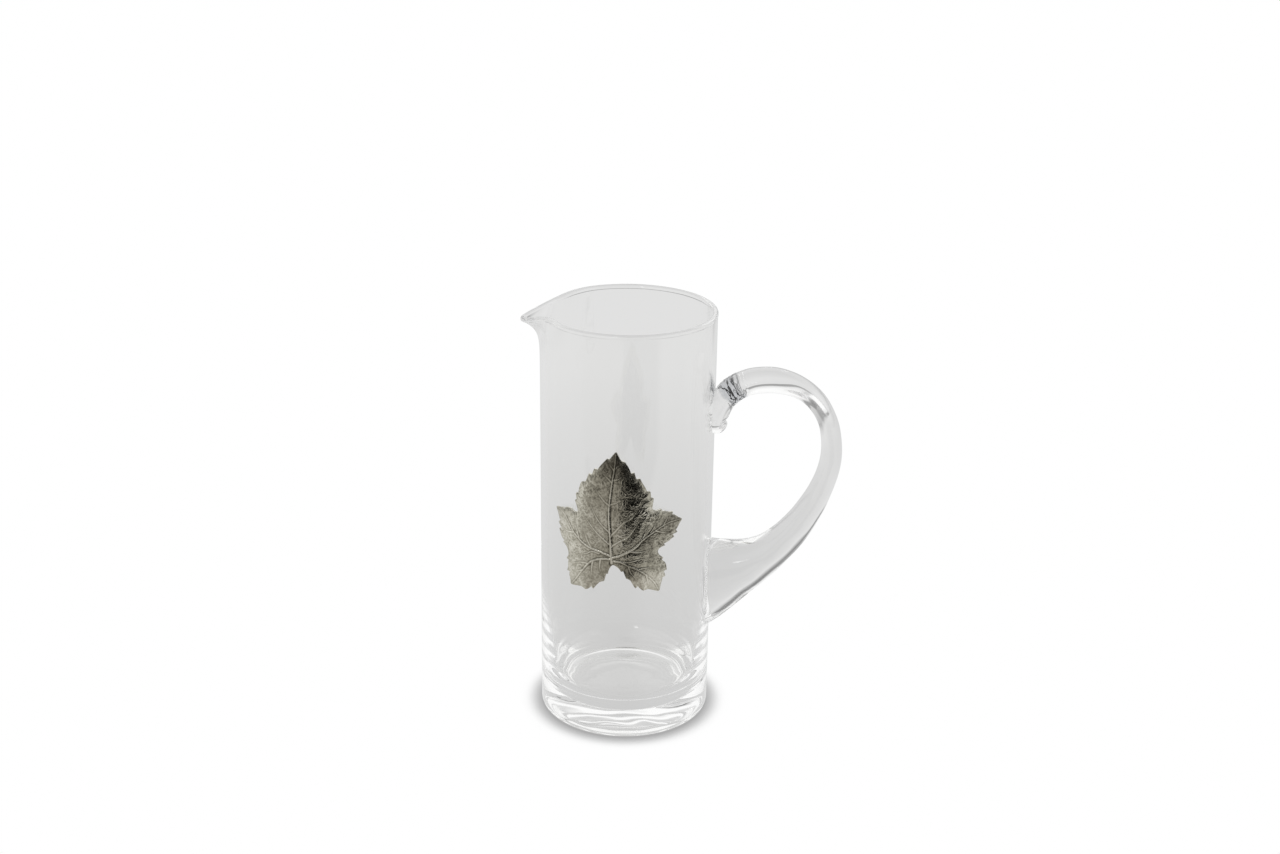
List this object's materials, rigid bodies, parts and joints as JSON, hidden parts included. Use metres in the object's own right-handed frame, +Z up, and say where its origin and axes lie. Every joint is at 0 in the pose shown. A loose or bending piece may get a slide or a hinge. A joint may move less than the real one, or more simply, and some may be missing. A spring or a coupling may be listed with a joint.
{
  "type": "glass carafe",
  "caption": "Straight-sided clear glass carafe with a heavy base, a drawn pouring lip, a solid pulled glass handle and a cast pewter vine leaf bonded to its front.",
  "frame": {"origin": "centre of the flat base, on the body's axis, at the table", "axes": "+Z up along the body's axis, +X towards the handle, -X towards the pouring lip, -Y towards the leaf"},
  "size_m": [0.1667, 0.0942, 0.222],
  "materials": {
    "glass": "clear, fire polished",
    "pewter": "cast pewter, dark patina in the recesses, rubbed bright on the ridges",
    "clear_bond": "clear cured adhesive film"
  },
  "bodies": {
    "root": {"glass_body": "glass", "glass_handle": "glass", "pewter_leaf": "pewter", "leaf_bond": "clear_bond"}
  },
  "joints": []
}
